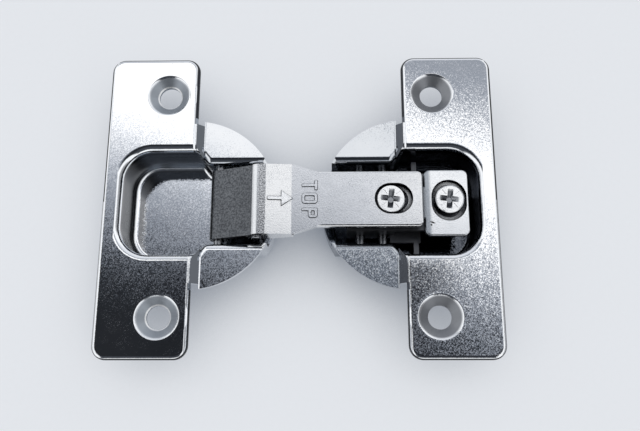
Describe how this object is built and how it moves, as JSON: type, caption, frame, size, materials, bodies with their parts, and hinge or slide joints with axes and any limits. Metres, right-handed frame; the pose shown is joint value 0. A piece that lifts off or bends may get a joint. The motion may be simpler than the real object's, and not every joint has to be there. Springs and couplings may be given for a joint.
{
  "type": "secretaire hinge",
  "caption": "Secretaire flap hinge: two pressed steel cups with fixing flanges joined by an arm and a swinging link, adjustable sideways and in depth.",
  "frame": {"origin": "middle of the open hinge at the level of the cup floors", "axes": "+X from the flap cup to the cabinet cup, +Y along the flanges, +Z out of the cups towards the arm"},
  "size_m": [0.0782, 0.0616, 0.0136],
  "materials": {
    "flap_cup": "bright nickel plate",
    "flap_pivot_pin": "drawn steel",
    "pivot_link": "dark satin nickel plate",
    "arm_pivot_pin": "drawn steel",
    "hinge_arm": "satin nickel plate",
    "arm_clamp_screw": "zinc plate",
    "slide_plate": "satin nickel plate",
    "plate_clamp_screw": "zinc plate",
    "base_bracket": "satin nickel plate",
    "base_pin_front": "drawn steel",
    "base_pin_rear": "drawn steel",
    "cabinet_cup": "bright nickel plate"
  },
  "bodies": {
    "cabinet": {"cabinet_cup": "cabinet_cup", "base_bracket": "base_bracket", "base_pin_front": "base_pin_front", "base_pin_rear": "base_pin_rear", "plate_clamp_screw": "plate_clamp_screw"},
    "slide": {"slide_plate": "slide_plate", "arm_clamp_screw": "arm_clamp_screw"},
    "arm": {"hinge_arm": "hinge_arm", "arm_pivot_pin": "arm_pivot_pin"},
    "link": {"pivot_link": "pivot_link"},
    "flap": {"flap_cup": "flap_cup", "flap_pivot_pin": "flap_pivot_pin"}
  },
  "joints": [
    {"name": "side_adjust", "type": "slide", "parent": "cabinet", "child": "slide", "axis": [0, 1, 0], "range_m": [-0.0009, 0.0009]},
    {"name": "depth_adjust", "type": "slide", "parent": "slide", "child": "arm", "axis": [1, 0, 0], "range_m": [-0.0011, 0]},
    {"name": "link_swing", "type": "hinge", "parent": "arm", "child": "link", "pos_m": [-0.0085, 0, 0.0099], "axis": [0, -1, 0], "range_deg": [0, 90]},
    {"name": "flap_swing", "type": "hinge", "parent": "link", "child": "flap", "pos_m": [-0.0163, 0, 0.0075], "axis": [0, -1, 0], "range_deg": [-180, 0]}
  ],
  "couplings": [
    {"joint": "flap_swing", "follows": "link_swing", "ratio": -2}
  ]
}
